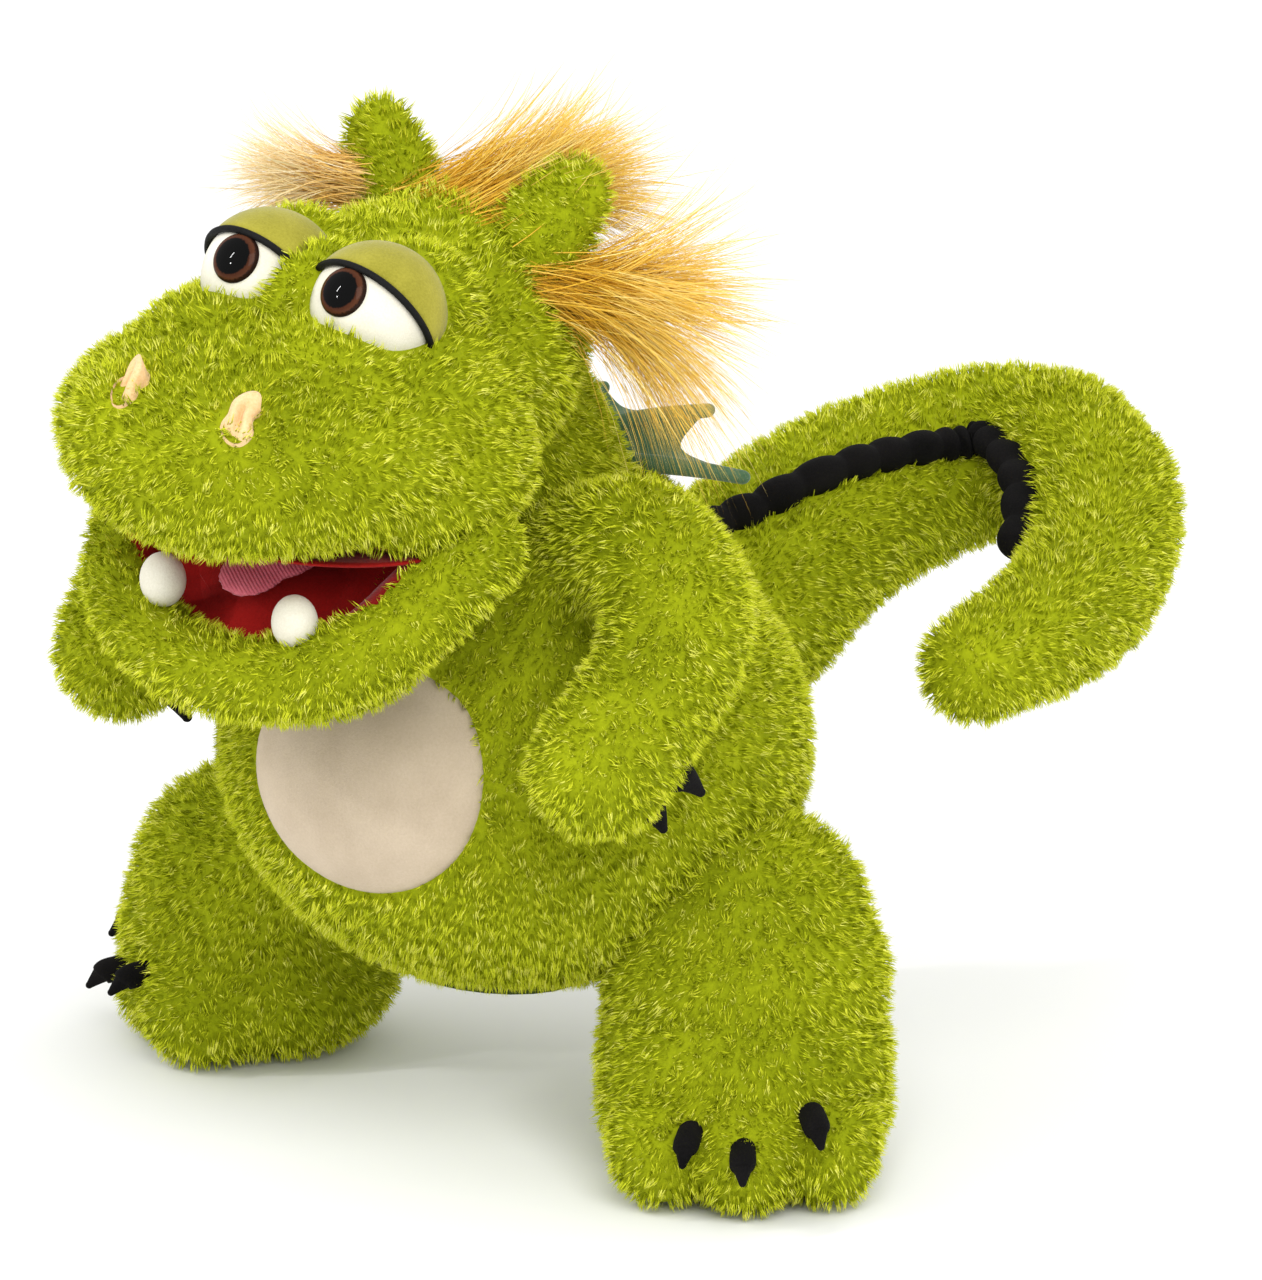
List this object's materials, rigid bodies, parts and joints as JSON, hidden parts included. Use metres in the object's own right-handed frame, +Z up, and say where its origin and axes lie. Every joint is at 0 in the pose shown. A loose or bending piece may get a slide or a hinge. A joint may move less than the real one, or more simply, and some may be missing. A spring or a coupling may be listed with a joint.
{
  "type": "moving mouth puppet",
  "caption": "Shaggy dragon hand puppet with a hinged mouth, turning head, stuffed arms, flat-soled feet, wings and a curling crested tail.",
  "frame": {"origin": "middle of the whole puppet's box, on the plane its soles stand on", "axes": "+Z up, -Y where the puppet faces, +X its left side"},
  "size_m": [0.4111, 0.5684, 0.4577],
  "materials": {
    "plush": "shaggy long pile plush",
    "filling": "loose fibre",
    "belly": "short smooth velour",
    "sleeve": "smooth lining cloth",
    "board": "matt flexible board",
    "lining": "short red velour",
    "tongue": "fine ribbed velour",
    "white_velour": "cream velour",
    "lid": "olive velour",
    "piping": "black cord",
    "eye": "glossy",
    "nostril": "peach velour",
    "hair": "long silky pile",
    "claw": "black velour",
    "wing": "dark green velour"
  },
  "bodies": {
    "torso": {"belly_patch": "belly", "hand_sleeve": "sleeve", "torso_cover": "plush", "torso_stuffing": "filling"},
    "neck": {"neck_cover": "plush", "neck_sleeve": "sleeve"},
    "head": {"ear_left": "plush", "ear_right": "plush", "ear_tuft_left": "hair", "ear_tuft_right": "hair", "eye_left": "eye", "eye_right": "eye", "eyeball_left": "white_velour", "eyeball_right": "white_velour", "eyelid_left": "lid", "eyelid_right": "lid", "finger_pocket": "sleeve", "head_cover": "plush", "head_stuffing": "filling", "lid_piping_left": "piping", "lid_piping_right": "piping", "mane": "hair", "nostril_left": "nostril", "nostril_right": "nostril", "palate_board": "board", "palate_lining": "lining"},
    "jaw": {"jaw_board": "board", "jaw_cover": "plush", "jaw_lining": "lining", "jaw_stuffing": "filling", "lower_lip": "plush", "thumb_pocket": "sleeve", "tongue": "tongue", "tooth_left": "white_velour", "tooth_right": "white_velour"},
    "left_arm": {"arm_cover_left": "plush", "arm_stuffing_left": "filling", "hand_claw_lower_left": "claw", "hand_claw_upper_left": "claw"},
    "right_arm": {"arm_cover_right": "plush", "arm_stuffing_right": "filling", "hand_claw_lower_right": "claw", "hand_claw_upper_right": "claw"},
    "left_leg": {"foot_claw_inner_left": "claw", "foot_claw_middle_left": "claw", "foot_claw_outer_left": "claw", "leg_cover_left": "plush", "leg_stuffing_left": "filling"},
    "right_leg": {"foot_claw_inner_right": "claw", "foot_claw_middle_right": "claw", "foot_claw_outer_right": "claw", "leg_cover_right": "plush", "leg_stuffing_right": "filling"},
    "left_wing": {"wing_left": "wing"},
    "right_wing": {"wing_right": "wing"},
    "tail_base": {"tail_base": "plush", "tail_crest_base": "claw"},
    "tail_middle": {"tail_crest_middle": "claw", "tail_middle": "plush"},
    "tail_tip": {"tail_tip": "plush"}
  },
  "joints": [
    {"name": "neck_turn", "type": "hinge", "parent": "torso", "child": "neck", "pos_m": [0.0127, -0.0622, 0.303], "axis": [0, 0, 1], "range_deg": [-20, 20]},
    {"name": "head_nod", "type": "hinge", "parent": "neck", "child": "head", "pos_m": [0.0127, -0.0622, 0.303], "axis": [1, 0, 0], "range_deg": [-12, 4]},
    {"name": "mouth", "type": "hinge", "parent": "head", "child": "jaw", "pos_m": [0.01254, -0.1452, 0.3], "axis": [0.9986, 0, -0.0523], "range_deg": [-26, 5]},
    {"name": "left_shoulder", "type": "hinge", "parent": "torso", "child": "left_arm", "pos_m": [0.0907, -0.0762, 0.27], "axis": [1, 0, 0], "range_deg": [-40, 8]},
    {"name": "left_hip", "type": "hinge", "parent": "torso", "child": "left_leg", "pos_m": [0.1047, -0.0122, 0.108], "axis": [1, 0, 0], "range_deg": [-24, 12]},
    {"name": "left_wing_flap", "type": "hinge", "parent": "torso", "child": "left_wing", "pos_m": [0.0247, 0.0018, 0.292], "axis": [0.6293, -0.7771, 0], "range_deg": [0, 40]},
    {"name": "right_shoulder", "type": "hinge", "parent": "torso", "child": "right_arm", "pos_m": [-0.0653, -0.0762, 0.27], "axis": [1, 0, 0], "range_deg": [-40, 8]},
    {"name": "right_hip", "type": "hinge", "parent": "torso", "child": "right_leg", "pos_m": [-0.0793, -0.0122, 0.108], "axis": [1, 0, 0], "range_deg": [-24, 12]},
    {"name": "right_wing_flap", "type": "hinge", "parent": "torso", "child": "right_wing", "pos_m": [0.0007, 0.0018, 0.292], "axis": [0.6293, 0.7771, 0], "range_deg": [0, 40]},
    {"name": "tail_wag", "type": "hinge", "parent": "torso", "child": "tail_base", "pos_m": [0.0127, 0.0658, 0.18], "axis": [0, 0, 1], "range_deg": [-12, 12]},
    {"name": "tail_bend", "type": "hinge", "parent": "tail_base", "child": "tail_middle", "pos_m": [0.0227, 0.2238, 0.225], "axis": [0, 0, 1], "range_deg": [-4, 20]},
    {"name": "tail_curl", "type": "hinge", "parent": "tail_middle", "child": "tail_tip", "pos_m": [0.1167, 0.2258, 0.23], "axis": [0, 0, 1], "range_deg": [-8, 25]}
  ]
}
